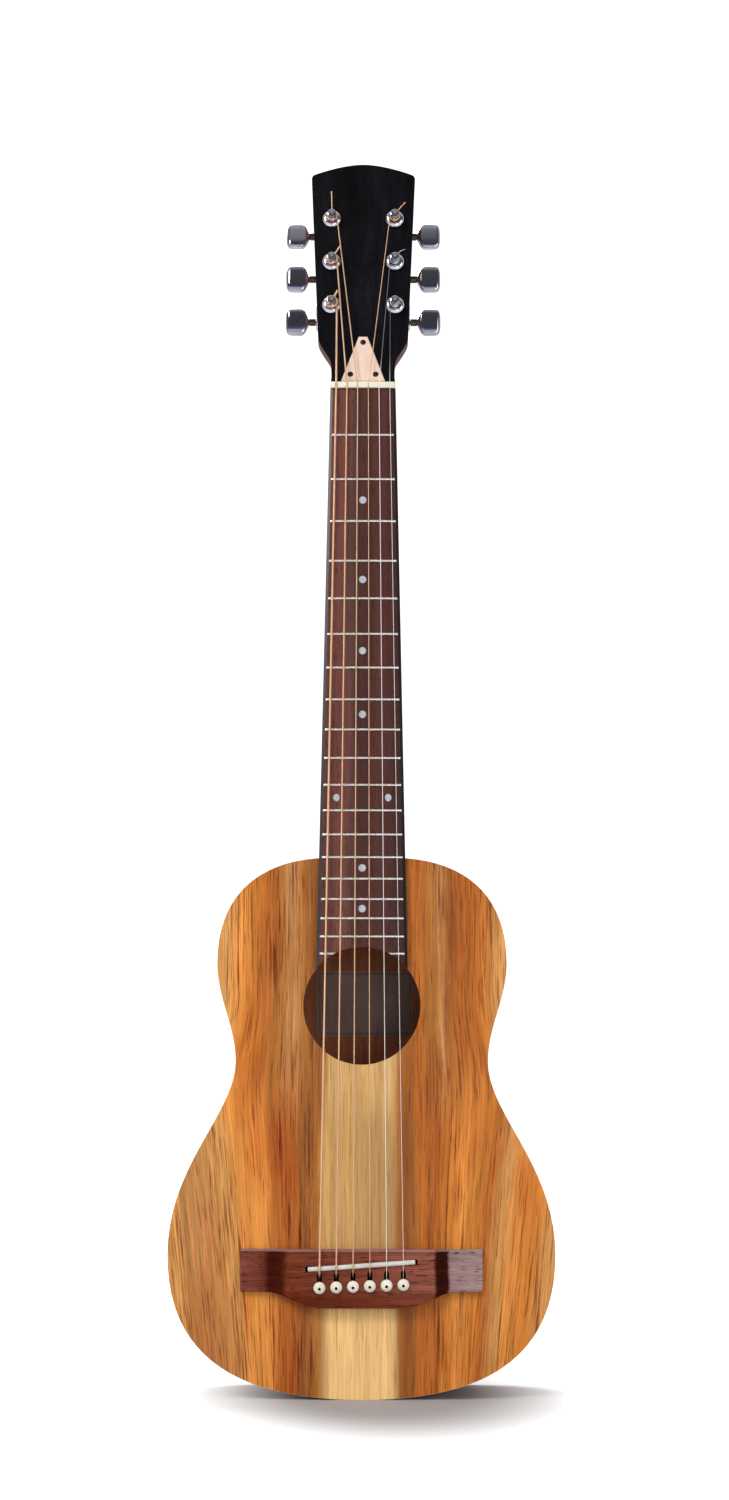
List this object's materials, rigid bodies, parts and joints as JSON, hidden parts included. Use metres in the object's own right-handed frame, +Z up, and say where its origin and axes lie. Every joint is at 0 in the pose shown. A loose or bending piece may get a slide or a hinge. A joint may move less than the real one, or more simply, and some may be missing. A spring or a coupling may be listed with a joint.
{
  "type": "travel acoustic guitar",
  "caption": "Small travel steel-string acoustic guitar with a figured solid top, round soundhole, pin bridge and open-strung slanted-back headstock.",
  "frame": {"origin": "bottom centre of the bounding box: under the tail, midway between face and back", "axes": "+Z up the neck to the headstock, +X to the treble side as seen from the front, +Y from the face to the back, so the face looks along -Y"},
  "size_m": [0.2494, 0.0917, 0.8183],
  "materials": {
    "top_wood": "satin figured hardwood, open-pored",
    "body_wood": "satin hardwood",
    "inner_wood": "raw softwood",
    "neck_wood": "satin hardwood",
    "board_wood": "oiled dark hardwood",
    "black_veneer": "satin black-dyed veneer",
    "bone": "polished bone or bone-coloured plastic",
    "chrome": "polished plating",
    "steel": "plain steel",
    "bronze": "bronze winding"
  },
  "bodies": {
    "guitar": {"soundboard": "top_wood", "back_plate": "body_wood", "side_bass": "body_wood", "side_treble": "body_wood", "neck_block": "inner_wood", "tail_block": "inner_wood", "top_bracing": "inner_wood", "back_brace_lower": "inner_wood", "back_brace_upper": "inner_wood", "bridge_plate": "inner_wood", "bridge": "board_wood", "saddle": "bone", "bridge_pin_1": "bone", "bridge_pin_2": "bone", "bridge_pin_3": "bone", "bridge_pin_4": "bone", "bridge_pin_5": "bone", "bridge_pin_6": "bone", "neck": "neck_wood", "headstock_veneer": "black_veneer", "fingerboard": "board_wood", "nut": "bone", "truss_rod": "steel", "truss_rod_cover": "bone", "string_1": "steel", "string_2": "steel", "string_3": "bronze", "string_4": "bronze", "string_5": "bronze", "string_6": "bronze", "tuner_bushing_1": "chrome", "tuner_bushing_2": "chrome", "tuner_bushing_3": "chrome", "tuner_bushing_4": "chrome", "tuner_bushing_5": "chrome", "tuner_bushing_6": "chrome", "tuner_housing_1": "chrome", "tuner_housing_2": "chrome", "tuner_housing_3": "chrome", "tuner_housing_4": "chrome", "tuner_housing_5": "chrome", "tuner_housing_6": "chrome"},
    "button_6": {"worm_shaft_6": "steel", "tuner_button_6": "chrome"},
    "post_6": {"string_post_6": "chrome"},
    "button_5": {"worm_shaft_5": "steel", "tuner_button_5": "chrome"},
    "post_5": {"string_post_5": "chrome"},
    "button_4": {"worm_shaft_4": "steel", "tuner_button_4": "chrome"},
    "post_4": {"string_post_4": "chrome"},
    "button_3": {"worm_shaft_3": "steel", "tuner_button_3": "chrome"},
    "post_3": {"string_post_3": "chrome"},
    "button_2": {"worm_shaft_2": "steel", "tuner_button_2": "chrome"},
    "post_2": {"string_post_2": "chrome"},
    "button_1": {"worm_shaft_1": "steel", "tuner_button_1": "chrome"},
    "post_1": {"string_post_1": "chrome"}
  },
  "joints": [
    {"name": "button_spin_6", "type": "hinge", "parent": "guitar", "child": "button_6", "pos_m": [-0.0211, -0.01142, 0.70856], "axis": [-1, 0, 0], "range_deg": [-720, 180]},
    {"name": "post_spin_6", "type": "hinge", "parent": "guitar", "child": "post_6", "pos_m": [-0.0211, -0.02457, 0.71576], "axis": [0, -0.9848, 0.1736], "range_deg": [-51.63, 13.06]},
    {"name": "button_spin_5", "type": "hinge", "parent": "guitar", "child": "button_5", "pos_m": [-0.0211, -0.00595, 0.73959], "axis": [-1, 0, 0], "range_deg": [-720, 180]},
    {"name": "post_spin_5", "type": "hinge", "parent": "guitar", "child": "post_5", "pos_m": [-0.0211, -0.0191, 0.74678], "axis": [0, -0.9848, 0.1736], "range_deg": [-51.63, 13.06]},
    {"name": "button_spin_4", "type": "hinge", "parent": "guitar", "child": "button_4", "pos_m": [-0.0211, -0.00048, 0.77061], "axis": [-1, 0, 0], "range_deg": [-720, 180]},
    {"name": "post_spin_4", "type": "hinge", "parent": "guitar", "child": "post_4", "pos_m": [-0.0211, -0.01363, 0.7778], "axis": [0, -0.9848, 0.1736], "range_deg": [-51.63, 13.06]},
    {"name": "button_spin_3", "type": "hinge", "parent": "guitar", "child": "button_3", "pos_m": [0.0211, -0.00048, 0.77061], "axis": [1, 0, 0], "range_deg": [-720, 180]},
    {"name": "post_spin_3", "type": "hinge", "parent": "guitar", "child": "post_3", "pos_m": [0.0211, -0.01363, 0.7778], "axis": [0, -0.9848, 0.1736], "range_deg": [-13.06, 51.63]},
    {"name": "button_spin_2", "type": "hinge", "parent": "guitar", "child": "button_2", "pos_m": [0.0211, -0.00595, 0.73959], "axis": [1, 0, 0], "range_deg": [-720, 180]},
    {"name": "post_spin_2", "type": "hinge", "parent": "guitar", "child": "post_2", "pos_m": [0.0211, -0.0191, 0.74678], "axis": [0, -0.9848, 0.1736], "range_deg": [-13.06, 51.63]},
    {"name": "button_spin_1", "type": "hinge", "parent": "guitar", "child": "button_1", "pos_m": [0.0211, -0.01142, 0.70856], "axis": [1, 0, 0], "range_deg": [-720, 180]},
    {"name": "post_spin_1", "type": "hinge", "parent": "guitar", "child": "post_1", "pos_m": [0.0211, -0.02457, 0.71576], "axis": [0, -0.9848, 0.1736], "range_deg": [-13.06, 51.63]}
  ],
  "couplings": [
    {"joint": "post_spin_6", "follows": "button_spin_6", "ratio": 0.071429},
    {"joint": "post_spin_5", "follows": "button_spin_5", "ratio": 0.071429},
    {"joint": "post_spin_4", "follows": "button_spin_4", "ratio": 0.071429},
    {"joint": "post_spin_3", "follows": "button_spin_3", "ratio": -0.071429},
    {"joint": "post_spin_2", "follows": "button_spin_2", "ratio": -0.071429},
    {"joint": "post_spin_1", "follows": "button_spin_1", "ratio": -0.071429}
  ]
}
